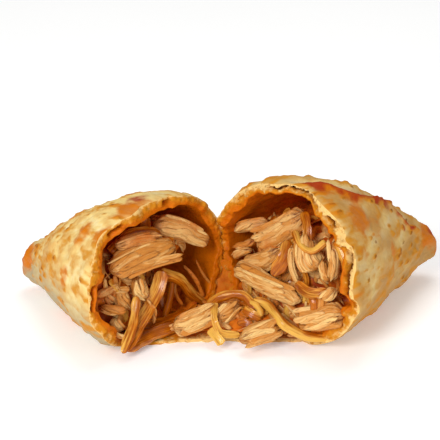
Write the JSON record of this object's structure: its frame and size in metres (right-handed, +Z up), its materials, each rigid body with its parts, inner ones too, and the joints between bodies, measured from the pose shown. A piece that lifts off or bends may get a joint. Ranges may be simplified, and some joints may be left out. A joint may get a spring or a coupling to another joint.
{
  "type": "chicken empanada",
  "caption": "Baked pastry turnover torn open in the middle, with shredded chicken and onion filling showing in both halves and spilling between them.",
  "frame": {"origin": "centre of the bounding box, on the surface that the empanada rests on", "axes": "+X from the left tip to the right tip, +Y towards the back where the halves meet, +Z up"},
  "size_m": [0.1374, 0.0764, 0.0508],
  "materials": {
    "baked_crust": "golden baked dough, matt, with browned blisters",
    "shredded_filling": "moist shredded chicken and onion in an orange sauce"
  },
  "bodies": {
    "root": {"crust": "baked_crust", "filling_left": "shredded_filling", "filling_right": "shredded_filling"}
  },
  "joints": []
}
